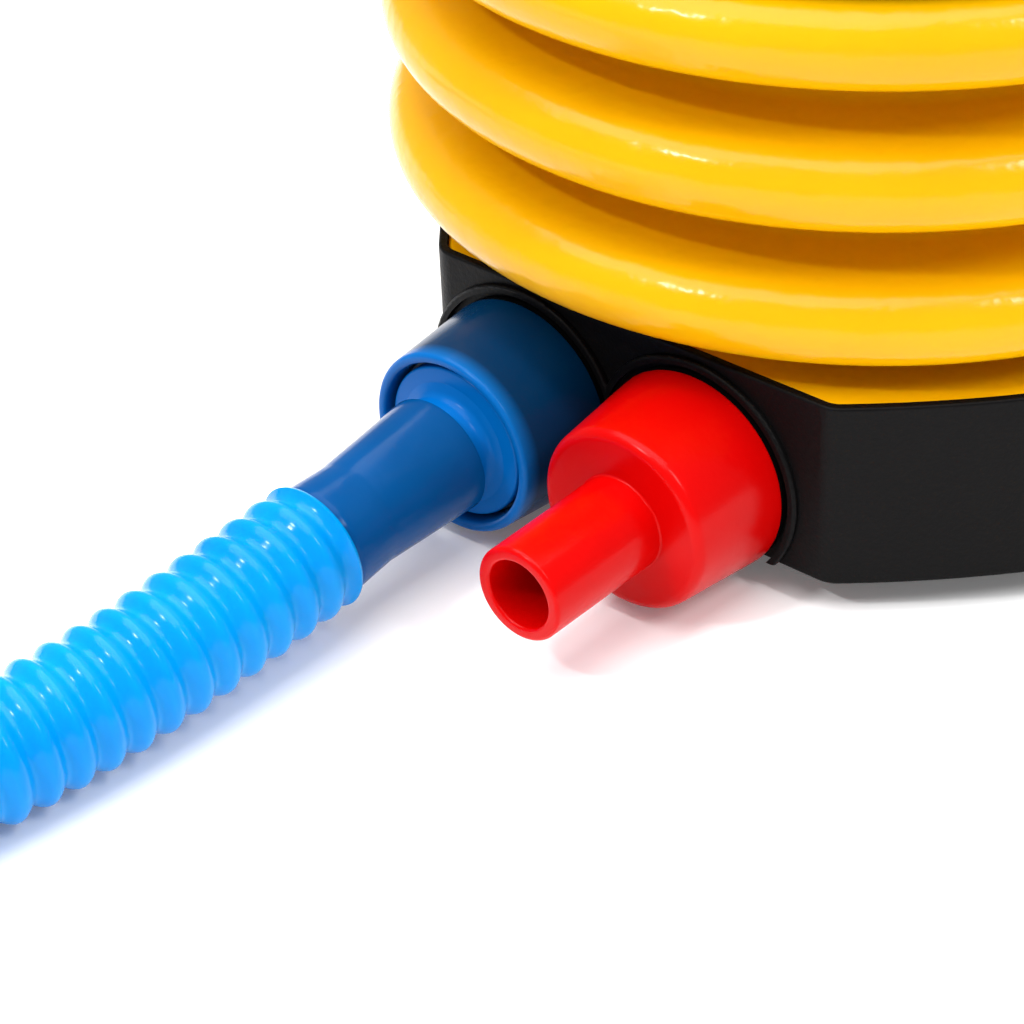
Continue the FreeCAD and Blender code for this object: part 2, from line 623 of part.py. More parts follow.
def hose_path():
    """Straight runs joined by tangent arcs; each arc is as large as its two runs allow."""
    edges = []
    at = HOSE_ROUTE[0]
    length = 0.0
    for before, corner, after in zip(HOSE_ROUTE, HOSE_ROUTE[1:], HOSE_ROUTE[2:]):
        come = corner - before
        go = after - corner
        shorter = min(come.Length, go.Length)
        turn = come.getAngle(go)
        radius = 0.45 * shorter / math.tan(turn / 2)
        come.normalize()
        go.normalize()
        start = corner - come * (0.45 * shorter)
        end = corner + go * (0.45 * shorter)
        inside = (go - come).normalize()
        middle = corner + inside * (radius / math.cos(turn / 2) - radius)
        edges.append(Part.LineSegment(at, start).toShape())
        edges.append(Part.Arc(start, middle, end).toShape())
        print("hose arc radius", round(radius, 1), "=", round(radius / (2 * HOSE_R), 1), "diameters")
        length += (start - at).Length + radius * turn
        at = end
    edges.append(Part.LineSegment(at, HOSE_ROUTE[-1]).toShape())
    length += (HOSE_ROUTE[-1] - at).Length
    print("hose length", round(length, 1))
    return Part.Wire(edges), length


def hose():
    """The hose's outer tube with its bore; its ribs are left plain here."""
    path, length = hose_path()
    along = (HOSE_ROUTE[1] - HOSE_ROUTE[0]).normalize()
    skins = []
    for radius in (HOSE_R, HOSE_BORE):
        section = Part.Wire(Part.makeCircle(radius, HOSE_ROUTE[0], along))
        skins.append(path.makePipeShell([section], True, False))
    solid = skins[0].cut(skins[1])
    expected = math.pi * (HOSE_R**2 - HOSE_BORE**2) * length
    print("hose volume over section times length", round(solid.Volume / expected, 4))
    return solid


def end_cuff():
    """Cuff on the free end of the hose, facing +Y."""
    start = HOSE_ROUTE[-1] + Y_AXIS * FIT
    return sleeve(start, Y_AXIS, CUFF_SMALL_R, CUFF_R, NECK_TUBE_R, END_CUFF_LEN)


NOZZLE_AT = HOSE_ROUTE[-1] + Y_AXIS * (FIT + END_CUFF_LEN)
NOZZLE_STEPS = [(5.3, 4.7, 9.0), (4.0, 3.4, 9.0), (2.7, 2.5, 8.0)]
NOZZLE_LENGTH = 2.0 + sum(step[2] for step in NOZZLE_STEPS)


def inflation_nozzle():
    """Stepped nozzle: a root in the cuff, a flange and three tapered steps."""
    points = [(-14.0, 2.0), (-14.0, NECK_TUBE_R), (0.02, NECK_TUBE_R), (0.02, 8.2), (2.0, 8.2)]
    y = 2.0
    for wide, narrow, length in NOZZLE_STEPS:
        points += [(y, wide), (y + length, narrow)]
        y += length
    points.append((y, 1.2))
    points.append((2.0, 2.0))
    solid = along_y(points, NOZZLE_AT.x, NOZZLE_AT.z)
    solid.translate(V(0, NOZZLE_AT.y, 0))
    return solid


def ball_needle():
    """Ball needle pushed on the nozzle's tip: a hexagonal socket and a thin open tube."""
    y = NOZZLE_AT.y + NOZZLE_LENGTH - NOZZLE_STEPS[-1][2] + 0.2
    corners = [V(NOZZLE_AT.x + 4.2 * math.cos(math.radians(60 * k)), y,
                 NOZZLE_AT.z + 4.2 * math.sin(math.radians(60 * k))) for k in range(7)]
    nut = Part.Face(Part.makePolygon(corners)).extrude(V(0, 9.5, 0))
    collar = Part.makeCone(2.9, 1.5, 3.0, V(NOZZLE_AT.x, y + 9.5, NOZZLE_AT.z), Y_AXIS)
    needle = Part.makeCylinder(1.0, 30.0, V(NOZZLE_AT.x, y + 11, NOZZLE_AT.z), Y_AXIS)
    solid = nut.fuse(collar).fuse(needle)
    solid = solid.cut(Part.makeCylinder(2.78, 8.4, V(NOZZLE_AT.x, y - 0.2, NOZZLE_AT.z), Y_AXIS))
    solid = solid.cut(Part.makeCylinder(0.55, 36.0, V(NOZZLE_AT.x, y + 8, NOZZLE_AT.z), Y_AXIS))
    return solid.removeSplitter()


# ---- write --------------------------------------------------------------------------------------
def all_nodes():
    return {
        "base_case": base_case(),
        "base_cover": base_cover(),
        "cover_gasket": cover_gasket(),
        "rubber_feet": rubber_feet(),
        "cover_screws": cover_screws(),
        "bellows": bellows(),
        "lower_clamp_ring": lower_clamp_ring(),
        "upper_clamp_ring": upper_clamp_ring(),
        "clamp_screws": clamp_screws(),
        "lower_spring_seat": lower_spring_seat(),
        "upper_spring_seat": upper_spring_seat(),
        "return_spring": return_spring(),
        "pedal_plate": pedal_plate(),
        "pedal_screws": pedal_screws(),
        "tread_pad": tread_pad(),
        "inlet_spigot": spigot(PORT_X),
        "outlet_spigot": spigot(-PORT_X),
        "inlet_gasket": port_gasket(PORT_X),
        "outlet_gasket": port_gasket(-PORT_X),
        "valve_box": valve_box(),
        "inlet_valve_seat": valve_seat(PORT_X),
        "outlet_valve_seat": valve_seat(-PORT_X),
        "inlet_valve_flap": valve_flap(PORT_X, True),
        "outlet_valve_flap": valve_flap(-PORT_X, False),
        "inlet_cap": inlet_cap(),
        "outlet_cup": outlet_cup(),
        "hose_plug": hose_plug(),
        "plug_seal": plug_seal(),
        "hose_cuff": hose_cuff(),
        "hose": hose(),
        "end_cuff": end_cuff(),
        "inflation_nozzle": inflation_nozzle(),
        "ball_needle": ball_needle(),
    }


os.makedirs("parts", exist_ok=True)
for name, shape in all_nodes().items():
    shape.translate(V(0, AXIS_Y, 0))
    state = "valid" if shape.isValid() else "NOT VALID"
    print(name, state, len(shape.Solids), "solids", round(shape.Volume))
    shape.exportStep("parts/" + name + ".step")
print("bellows axis at y =", round(AXIS_Y, 3))
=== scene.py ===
"""Looks of the ball inflation pump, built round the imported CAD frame.

Metres, +Z up, ports towards -Y.
"""

import bmesh
import bpy
import math
from mathutils import Matrix, Vector


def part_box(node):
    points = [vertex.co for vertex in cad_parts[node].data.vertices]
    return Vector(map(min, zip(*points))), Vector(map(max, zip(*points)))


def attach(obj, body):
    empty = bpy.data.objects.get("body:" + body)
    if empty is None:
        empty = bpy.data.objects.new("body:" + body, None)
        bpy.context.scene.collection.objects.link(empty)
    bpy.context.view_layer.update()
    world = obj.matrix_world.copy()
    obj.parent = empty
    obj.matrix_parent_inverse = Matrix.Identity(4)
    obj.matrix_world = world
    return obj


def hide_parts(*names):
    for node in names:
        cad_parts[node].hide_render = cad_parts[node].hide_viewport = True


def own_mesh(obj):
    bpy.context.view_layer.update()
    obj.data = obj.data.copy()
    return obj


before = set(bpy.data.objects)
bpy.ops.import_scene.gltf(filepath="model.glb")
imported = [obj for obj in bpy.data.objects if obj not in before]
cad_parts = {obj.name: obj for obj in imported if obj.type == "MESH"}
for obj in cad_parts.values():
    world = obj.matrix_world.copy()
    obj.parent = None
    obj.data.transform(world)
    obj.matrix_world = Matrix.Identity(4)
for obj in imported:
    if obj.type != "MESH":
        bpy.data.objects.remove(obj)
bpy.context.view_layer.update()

MM = 0.001
TAU = 2 * math.pi

# ---- driving sizes, as in the CAD, in metres -----------------------------------------------------
AXIS_Y = 12.55 * MM          # bellows axis
PORT_X = 13.75 * MM
PORT_Z = 13.7 * MM
RIDGE_R = 63.5 * MM
CREST_R = 5.5 * MM
VALLEY_R = 2.5 * MM
VALLEY_DEPTH = 14.0 * MM
RIDGE_PITCH = 17.8 * MM
FIRST_RIDGE_Z = 38.6 * MM
RIDGES = 3
NECK_R = 51.0 * MM
NECK_STEP = 7.3 * MM
BELLOWS_WALL = 1.3 * MM
HOSE_R = 8.3 * MM
HOSE_ROOT_R = 7.2 * MM
HOSE_BORE = 6.3 * MM
RIB_PITCH = 4.15 * MM
RIB_STEPS = 12               # rings per rib of the hose
HOSE_LIP = 0.8 * MM
CASE_FRONT = 54.8 * MM
CASE_SIDE = 56.5 * MM
CASE_FLAT_IN = 33.6 * MM     # from the middle to the front wall's end, inlet side
CASE_TURN_IN = math.radians(45.5)
CASE_FLAT_OUT = 28.0 * MM
CASE_TURN_OUT = math.radians(50)
CASE_ROUND = 4 * MM
CASE_BOW = 1.0 * MM          # how far the walls of the inlet side bulge
FLANGE_TOP = 29.5 * MM
FLANGE_T = 1.2 * MM
FLANGE_BORE = 50 * MM
TOP_FLANGE_R = 56 * MM
TOP_FLANGE_BORE = 44 * MM
CAP_R = 13.6 * MM            # red cap and blue cup, at the back
CAP_FRONT_R = 12.1 * MM
CAP_BORE = 10.1 * MM
CAP_BORE_DEPTH = 9.8 * MM
NOZZLE_R = 6.25 * MM
NOZZLE_BORE = 4.5 * MM
NOZZLE_LEN = 18.8 * MM
CUP_FRONT_R = 12.4 * MM
SOCKET_DEPTH = 3 * MM
DUCT_BORE = 4.9 * MM
PLUG_BORE = 3.4 * MM
TAIL_R = 4.82 * MM
NECK_TUBE_R = 5.0 * MM
CUFF_BORE = 5.05 * MM
CUFF_FROM = 4.0 * MM         # from the plug's middle
CUFF_END = 27.5 * MM
SPRING_R = 22 * MM
SPRING_WIRE_R = 1.3 * MM
SPRING_TURNS = 6.5


# ---- camera --------------------------------------------------------------------------------------
def add_camera():
    """The view from the front right and above; angles in degrees, distance in metres."""
    azimuth, elevation, roll = (math.radians(a) for a in (42.46, 34.71, -2.73))
    distance = 0.376
    target = Vector((5.77 * MM, AXIS_Y - 80.12 * MM, 17.49 * MM))
    back = Vector((
        math.cos(elevation) * math.sin(azimuth),
        -math.cos(elevation) * math.cos(azimuth),
        math.sin(elevation),
    ))
    level = Vector((math.cos(azimuth), math.sin(azimuth), 0))
    upright = back.cross(level)
    right = level * math.cos(roll) + upright * math.sin(roll)
    up = back.cross(right)
    data = bpy.data.cameras.new("camera")
    data.lens = 111.4
    data.sensor_width = 36
    data.clip_start = 0.01
    camera = bpy.data.objects.new("camera", data)
    bpy.context.scene.collection.objects.link(camera)
    place = target + back * distance
    camera.matrix_world = Matrix((
        (right.x, up.x, back.x, place.x),
        (right.y, up.y, back.y, place.y),
        (right.z, up.z, back.z, place.z),
        (0, 0, 0, 1),
    ))
    bpy.context.scene.camera = camera


# ---- mesh helpers --------------------------------------------------------------------------------
def new_mesh(name, verts, faces):
    """A smooth-shaded object with this mesh, in the scene."""
    mesh = bpy.data.meshes.new(name)
    mesh.from_pydata([tuple(v) for v in verts], [], faces)
    mesh.validate()
    mesh.update()
    piece = bpy.data.objects.new(name, mesh)
    bpy.context.scene.collection.objects.link(piece)
    mesh.polygons.foreach_set("use_smooth", [True] * len(mesh.polygons))
    return piece


def sharpen(piece, degrees):
    """Keeps edges sharper than this angle sharp."""
    bpy.context.view_layer.objects.active = piece
    piece.data.set_sharp_from_angle(angle=math.radians(degrees))
    return piece


def rounded(points, radii, steps=5):
    """Closed profile of (a, b) points with its corners rounded by radii, as a point list."""
    out = []
    count = len(points)
    for k, (corner, radius) in enumerate(zip(points, radii)):
        here = Vector(corner)
        before = Vector(points[k - 1]) - here
        after = Vector(points[(k + 1) % count]) - here
        if radius <= 0:
            out.append(tuple(here))
            continue
        half = before.angle(after) / 2
        reach = min(radius / math.tan(half), 0.49 * before.length, 0.49 * after.length)
        radius = reach * math.tan(half)
        before.normalize()
        after.normalize()
        centre = here + (before + after).normalized() * (radius / math.sin(half))
        first = here + before * reach - centre
        last = here + after * reach - centre
        sweep = first.angle(last)
        for s in range(steps + 1):
            t = s / steps
            a = math.sin((1 - t) * sweep) / math.sin(sweep)
            b = math.sin(t * sweep) / math.sin(sweep)
            out.append(tuple(centre + first * a + last * b))
    return out


def lathe(name, profile, origin, axis, around=128):
    """Revolves a closed (along, radius) profile about an axis; a radius of 0 closes on the axis."""
    axis = Vector(axis).normalized()
    side = axis.orthogonal().normalized()
    other = axis.cross(side)
    origin = Vector(origin)
    verts = []
    rows = []
    for along, radius in profile:
        if radius < 1e-7:
            rows.append([len(verts)] * around)
            verts.append(origin + axis * along)
            continue
        rows.append(list(range(len(verts), len(verts) + around)))
        for k in range(around):
            a = TAU * k / around
            verts.append(origin + axis * along + (side * math.cos(a) + other * math.sin(a)) * radius)
    faces = []
    for row, after in zip(rows, rows[1:] + rows[:1]):
        for k in range(around):
            n = (k + 1) % around
            corners = [row[k], row[n], after[n], after[k]]
            face = list(dict.fromkeys(corners))
            if len(face) > 2:
                faces.append(face)
    piece = new_mesh(name, verts, faces)
    fix_normals(piece)
    return sharpen(piece, 35)


def fix_normals(piece):
    """Joins doubled points and turns every face outwards."""
    bm = bmesh.new()
    bm.from_mesh(piece.data)
    bmesh.ops.remove_doubles(bm, verts=bm.verts, dist=1e-7)
    bmesh.ops.recalc_face_normals(bm, faces=bm.faces)
    bm.to_mesh(piece.data)
    bm.free()


def ring(place, along, radius, around):
    """Points of a circle about a place on a line that runs in a direction."""
    side = along.cross(Vector((0, 0, 1))).normalized()
    up = side.cross(along)
    angles = [TAU * n / around for n in range(around)]
    return [place + (side * math.cos(a) + up * math.sin(a)) * radius for a in angles]


def ring_faces(rings, around, closed):
    """Quads between neighbouring rings; closed also joins the last ring to the first."""
    faces = []
    for r in range(rings if closed else rings - 1):
        s = (r + 1) % rings
        for n in range(around):
            m = (n + 1) % around
            faces.append([r * around + n, r * around + m, s * around + m, s * around + n])
    return faces


# ---- hose ----------------------------------------------------------------------------------------
HOSE_ROUTE = [Vector(p) * MM + Vector((0, AXIS_Y, 0)) for p in (
    (-13.75, -93.949, 12.088),
    (-14.1, -110.0, 10.9),
    (-15.8, -130.0, 9.0),
    (-19.5, -153.0, 8.4),
    (-31.2, -189.1, 8.4),
    (-58.8, -220.8, 8.4),
    (-97.5, -237.2, 8.4),
    (-139.4, -234.6, 8.4),
    (-175.8, -213.6, 8.4),
    (-199.3, -178.8, 8.4),
    (-207.4, -143.7, 8.4),
    (-207.4, -117.7, 8.4),
)]


def route_points(route):
    """Points read along a smooth NURBS line that has the route as its control points."""
    curve = bpy.data.curves.new("hose_line", "CURVE")
    curve.dimensions = "3D"
    curve.resolution_u = 40
    spline = curve.splines.new("NURBS")
    spline.points.add(len(route) - 1)
    for point, place in zip(spline.points, route):
        point.co = (*place, 1)
    spline.order_u = 3
    spline.use_endpoint_u = True
    line = bpy.data.objects.new("hose_line", curve)
    bpy.context.scene.collection.objects.link(line)
    mesh = bpy.data.meshes.new_from_object(line)
    points = [v.co.copy() for v in mesh.vertices]
    bpy.data.meshes.remove(mesh)
    bpy.data.objects.remove(line)
    return points


def line_length(points):
    return sum((b - a).length for a, b in zip(points, points[1:]))


def even_places(points, distances):
    """(place, direction) at each distance along the points."""
    places = []
    walked = 0.0
    k = 0
    for d in distances:
        while k < len(points) - 2 and walked + (points[k + 1] - points[k]).length < d:
            walked += (points[k + 1] - points[k]).length
            k += 1
        step = points[k + 1] - points[k]
        t = min(max((d - walked) / step.length, 0), 1)
        places.append(points[k] + step * t)
    result = []
    for k, place in enumerate(places):
        before = places[max(k - 1, 0)]
        after = places[min(k + 1, len(places) - 1)]
        result.append((place, (after - before).normalized()))
    return result


def rib_radius(phase):
    """Radius over one rib, phase 0 to 1 from crest to crest: a broad round crest and a groove."""
    wave = 0.5 + 0.5 * math.cos(TAU * phase)
    return HOSE_ROOT_R + (HOSE_R - HOSE_ROOT_R) * wave ** 0.85


def hose_profile(length):
    """Closed (distance, radius) outline: ribs outside, a plain bore, a rounded lip at each end."""
    steps = round(length / RIB_PITCH) * RIB_STEPS
    ribs = [(length * k / steps, rib_radius((k % RIB_STEPS) / RIB_STEPS)) for k in range(steps + 1)]
    lip = HOSE_LIP
    first = [(0.0, HOSE_BORE + 0.1 * MM), (0.0, HOSE_R - lip)]
    first += [(lip * (1 - math.cos(a)), HOSE_R - lip + lip * math.sin(a)) for a in (0.5, 1.0, 1.4)]
    last = [(length - d, r) for d, r in reversed(first)]
    bore_steps = 60
    bore = [(length * k / bore_steps, HOSE_BORE) for k in range(bore_steps, -1, -1)]
    return first + [(d, r) for d, r in ribs if lip < d < length - lip] + last + bore


def build_hose():
    """The corrugated hose, with the points of its middle line and its length."""
    points = route_points(HOSE_ROUTE)
    length = line_length(points)
    profile = hose_profile(length)
    order = sorted(set(d for d, _ in profile))
    where = dict(zip(order, even_places(points, order)))
    around = 56
    verts = []
    for d, radius in profile:
        place, along = where[d]
        verts += ring(place, along, radius, around)
    piece = new_mesh("hose_corrugated", verts, ring_faces(len(profile), around, closed=True))
    fix_normals(piece)
    return sharpen(piece, 50), points, length


# ---- bellows -------------------------------------------------------------------------------------
def bellows_line(shift):
    """The wall's circles as (x, z, radius, way) and where each one's tangent touches the next.

    shift moves the wall inwards; way is 1 for a ridge's crest and -1 for a valley.
    """
    crest = CREST_R - shift
    valley = VALLEY_R + shift
    top_neck_z = FIRST_RIDGE_Z + RIDGE_PITCH * (RIDGES - 1) + NECK_STEP
    circles = [(NECK_R + VALLEY_R, FIRST_RIDGE_Z - NECK_STEP, valley, -1)]
    for k in range(RIDGES):
        z = FIRST_RIDGE_Z + RIDGE_PITCH * k
        circles.append((RIDGE_R - CREST_R, z, crest, 1))
        if k < RIDGES - 1:
            circles.append((RIDGE_R - VALLEY_DEPTH + VALLEY_R, z + RIDGE_PITCH / 2, valley, -1))
    circles.append((NECK_R + VALLEY_R, top_neck_z, valley, -1))
    touches = []
    for low, high in zip(circles, circles[1:]):
        dx, dz = high[0] - low[0], high[1] - low[1]
        base = math.atan2(dz, dx)
        lean = math.acos((low[2] + high[2]) / math.hypot(dx, dz))
        at = base - lean if low[3] > 0 else base + lean
        touches.append((
            (low[0] + low[2] * math.cos(at), low[1] + low[2] * math.sin(at)),
            (high[0] - high[2] * math.cos(at), high[1] - high[2] * math.sin(at)),
        ))
    return circles, touches


def arc_steps(circle, start, end, steps):
    """Points round one circle of the wall from one touch to the next, as (z, radius)."""
    x, z, radius, way = circle
    a = math.atan2(start[1] - z, start[0] - x)
    b = math.atan2(end[1] - z, end[0] - x)
    if way < 0:
        a, b = a % TAU, b % TAU
    angles = [a + (b - a) * k / steps for k in range(steps + 1)]
    return [(z + radius * math.sin(t), x + radius * math.cos(t)) for t in angles]


def bellows_points(shift):
    """(z, radius) points up the wall from the lower neck to the upper one."""
    circles, touches = bellows_line(shift)
    first = (circles[0][0] - circles[0][2], circles[0][1])
    last = (circles[-1][0] - circles[-1][2], circles[-1][1])
    starts = [first] + [t[1] for t in touches]
    ends = [t[0] for t in touches] + [last]
    points = []
    for circle, start, end in zip(circles, starts, ends):
        points += arc_steps(circle, start, end, 14)
    return points


def build_bellows():
    """The ribbed wall and its upper flange, turned in one piece."""
    low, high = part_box("bellows")
    flange_low = high.z - FLANGE_T
    wall = bellows_points(0)
    lining = bellows_points(BELLOWS_WALL)
    profile = [(low.z, NECK_R)] + wall + [
        (flange_low, NECK_R), (flange_low, TOP_FLANGE_R), (high.z, TOP_FLANGE_R),
        (high.z, TOP_FLANGE_BORE), (flange_low, TOP_FLANGE_BORE), (flange_low, NECK_R - BELLOWS_WALL),
    ]
    profile += lining[::-1] + [(low.z, NECK_R - BELLOWS_WALL)]
    return lathe("bellows_skin", profile, (0, AXIS_Y, 0), (0, 0, 1), around=192)


# ---- casing plan ---------------------------------------------------------------------------------
def case_corner(flat, turn, inset):
    """Where the front wall and the side wall meet a corner wall, from the middle."""
    flat_x = flat - inset * math.tan(turn / 2)
    drop = (CASE_SIDE - flat) * math.tan(turn)
    flat_y = CASE_FRONT - drop - inset * math.tan(math.pi / 4 - turn / 2)
    return flat_x, flat_y


def case_outline(inset):
    """(x, y) points of the eight-sided plan with rounded corners; the inlet side's walls bulge."""
    front = CASE_FRONT - inset
    side = CASE_SIDE - inset
    x_in, y_in = case_corner(CASE_FLAT_IN, CASE_TURN_IN, inset)
    x_out, y_out = case_corner(CASE_FLAT_OUT, CASE_TURN_OUT, inset)
    corners = [
        (-x_out, -front), (x_in, -front), (side, -y_in), (side, y_in),
        (x_in, front), (-x_out, front), (-side, y_out), (-side, -y_out),
    ]
    points = []
    radii = []
    for k, start in enumerate(corners):
        end = corners[(k + 1) % 8]
        points.append(start)
        radii.append(max(CASE_ROUND - inset, 0.8 * MM))
        middle = Vector(((start[0] + end[0]) / 2, (start[1] + end[1]) / 2))
        if middle.x < x_in / 2:
            continue
        for t in (0.2, 0.35, 0.5, 0.65, 0.8):
            bow = CASE_BOW * 4 * t * (1 - t)
            points.append(tuple(Vector(start).lerp(Vector(end), t) + middle.normalized() * bow))
            radii.append(0)
    return rounded(points, radii, steps=6)


def build_flange():
    """Eight-sided flange of the bellows, lying in the casing's rim."""
    outline = case_outline(1.25 * MM)
    inner = case_outline(1.65 * MM)
    bore = [tuple(Vector(p).normalized() * FLANGE_BORE) for p in inner]
    rings = [
        (outline, FLANGE_TOP - FLANGE_T), (outline, FLANGE_TOP - 0.4 * MM), (inner, FLANGE_TOP),
        (bore, FLANGE_TOP), (bore, FLANGE_TOP - FLANGE_T),
    ]
    verts = [(x, y + AXIS_Y, z) for line, z in rings for x, y in line]
    piece = new_mesh("bellows_flange", verts, ring_faces(len(rings), len(outline), closed=True))
    fix_normals(piece)
    return sharpen(piece, 30)


# ---- ports and hose ends -------------------------------------------------------------------------
Y_BACK = (0, -1, 0)


def build_red_cap():
    """Stepped cap with an open nozzle."""
    low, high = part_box("inlet_cap")
    length = high.y - low.y
    cap = length - NOZZLE_LEN
    points = [
        (0, CAP_BORE), (0, CAP_R), (cap, CAP_FRONT_R), (cap, NOZZLE_R), (length, 6.2 * MM),
        (length, NOZZLE_BORE), (CAP_BORE_DEPTH, NOZZLE_BORE), (CAP_BORE_DEPTH, CAP_BORE),
    ]
    radii = [r * MM for r in (0.2, 0.35, 1.5, 0.3, 0.6, 0.45, 0, 0)]
    profile = rounded(points, radii, steps=7)
    return lathe("red_cap_shell", profile, (PORT_X, high.y, PORT_Z), Y_BACK, around=160)


def build_blue_cup():
    """Cup with a socket in its mouth for the hose plug."""
    low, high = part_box("outlet_cup")
    length = high.y - low.y
    web = length - SOCKET_DEPTH
    points = [
        (0, CAP_BORE), (0, CAP_R), (length, CUP_FRONT_R), (length, 11.15 * MM), (web, 10.7 * MM),
        (web, DUCT_BORE), (CAP_BORE_DEPTH, DUCT_BORE), (CAP_BORE_DEPTH, CAP_BORE),
    ]
    radii = [r * MM for r in (0.2, 0.35, 0.65, 0.5, 0.1, 0, 0, 0)]
    profile = rounded(points, radii, steps=6)
    return lathe("blue_cup_shell", profile, (-PORT_X, high.y, PORT_Z), Y_BACK, around=160)


SAG = Vector((0, -0.99808, -0.062)).normalized()    # the hose leaves the plug a little down


def plug_middle():
    """Middle of the plug's disc, where the neck starts."""
    low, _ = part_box("outlet_cup")
    return Vector((-PORT_X, low.y + 1.65 * MM, PORT_Z))


def build_plug():
    """Disc in the cup's mouth, with a tail behind it and a low cone in front."""
    points = [
        (-0.85 * MM, PLUG_BORE), (-10 * MM, PLUG_BORE), (-10 * MM, TAIL_R), (-0.85 * MM, TAIL_R),
        (-0.85 * MM, 10.35 * MM), (0.75 * MM, 10.3 * MM), (0.95 * MM, 8.3 * MM), (1.7 * MM, 6.6 * MM),
        (4.2 * MM, 6.2 * MM), (4.2 * MM, PLUG_BORE),
    ]
    radii = [r * MM for r in (0, 0.3, 0.3, 0, 0.2, 0.4, 0.6, 1.5, 0, 0)]
    profile = rounded(points, radii, steps=5)
    return lathe("plug_disc", profile, plug_middle(), Y_BACK, around=128)


def build_neck():
    """Tube from the plug's disc into the hose, under the cuff."""
    start, end = 0.2 * MM, 25.9 * MM
    points = [(start, PLUG_BORE), (start, NECK_TUBE_R), (end, NECK_TUBE_R), (end, PLUG_BORE)]
    return lathe("plug_neck", points, plug_middle(), SAG, around=64)


def build_cuff():
    """Sleeve over the plug's neck: a rim at the plug, a waist and a swell before the hose."""
    points = [
        (CUFF_FROM, CUFF_BORE), (CUFF_FROM, 8.0 * MM), (6.5 * MM, 7.8 * MM), (19 * MM, 7.0 * MM),
        (25.3 * MM, 7.4 * MM), (CUFF_END, 6.7 * MM), (CUFF_END, CUFF_BORE),
    ]
    radii = [r * MM for r in (0, 0.25, 2.0, 5.0, 1.5, 0.3, 0)]
    profile = rounded(points, radii, steps=6)
    return lathe("cuff_sleeve", profile, plug_middle(), SAG, around=128)


def build_end_cuff():
    """Sleeve between the hose's far end and the stepped nozzle."""
    low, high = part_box("end_cuff")
    middle = (low + high) / 2
    length = high.y - low.y
    start = -1.5 * MM
    points = [
        (start, CUFF_BORE), (start, 6.25 * MM), (length - 2.5 * MM, 7.6 * MM), (length, 7.8 * MM),
        (length, CUFF_BORE),
    ]
    radii = [r * MM for r in (0, 0.3, 1.0, 0.6, 0)]
    profile = rounded(points, radii, steps=6)
    return lathe("end_cuff_sleeve", profile, (middle.x, low.y, middle.z), (0, 1, 0), around=128)


def build_nozzle():
    """Nozzle with a stop collar and three steps, thinner towards its tip."""
    low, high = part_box("inflation_nozzle")
    middle = (low + high) / 2
    outline = [
        (0, 2.0), (0, 5.0), (14.02, 5.0), (14.02, 8.2), (16, 8.2), (16, 5.3), (25, 4.7), (25, 4.0),
        (34, 3.4), (34, 2.7), (42, 2.5), (42, 1.2), (16, 2.0),
    ]
    points = [(along * MM, radius * MM) for along, radius in outline]
    radii = [r * MM for r in (0, 0.4, 0, 0.5, 0.5, 0.3, 0.4, 0.2, 0.4, 0.2, 0.3, 0.2, 0)]
    profile = rounded(points, radii, steps=5)
    return lathe("stepped_nozzle", profile, (middle.x, low.y, middle.z), (0, 1, 0), around=96)


def build_spring():
    """Round wire coil between the two spring seats."""
    low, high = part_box("return_spring")
    steps = int(SPRING_TURNS * 40)
    bottom = low.z + SPRING_WIRE_R
    top = high.z - SPRING_WIRE_R
    places = []
    for k in range(steps + 1):
        a = TAU * SPRING_TURNS * k / steps
        z = bottom + (top - bottom) * k / steps
        places.append(Vector((SPRING_R * math.cos(a), AXIS_Y + SPRING_R * math.sin(a), z)))
    around = 12
    verts = []
    for k, place in enumerate(places):
        along = (places[min(k + 1, steps)] - places[max(k - 1, 0)]).normalized()
        verts += ring(place, along, SPRING_WIRE_R, around)
    faces = [list(range(around))[::-1], [steps * around + n for n in range(around)]]
    faces += ring_faces(steps + 1, around, closed=False)
    piece = new_mesh("spring_coil", verts, faces)
    fix_normals(piece)
    return sharpen(piece, 50)


# ---- materials -----------------------------------------------------------------------------------
def material(name):
    """A new node material: the material, its shader, and helpers that add and link nodes."""
    mat = bpy.data.materials.new(name)
    mat.use_nodes = True
    tree = mat.node_tree
    shader = tree.nodes["Principled BSDF"]

    def add(kind, **values):
        node = tree.nodes.new(kind)
        for key, value in values.items():
            if key in node.inputs:
                node.inputs[key].default_value = value
            else:
                setattr(node, key, value)
        return node

    def link(a, b):
        tree.links.new(a, b)

    return mat, shader, add, link


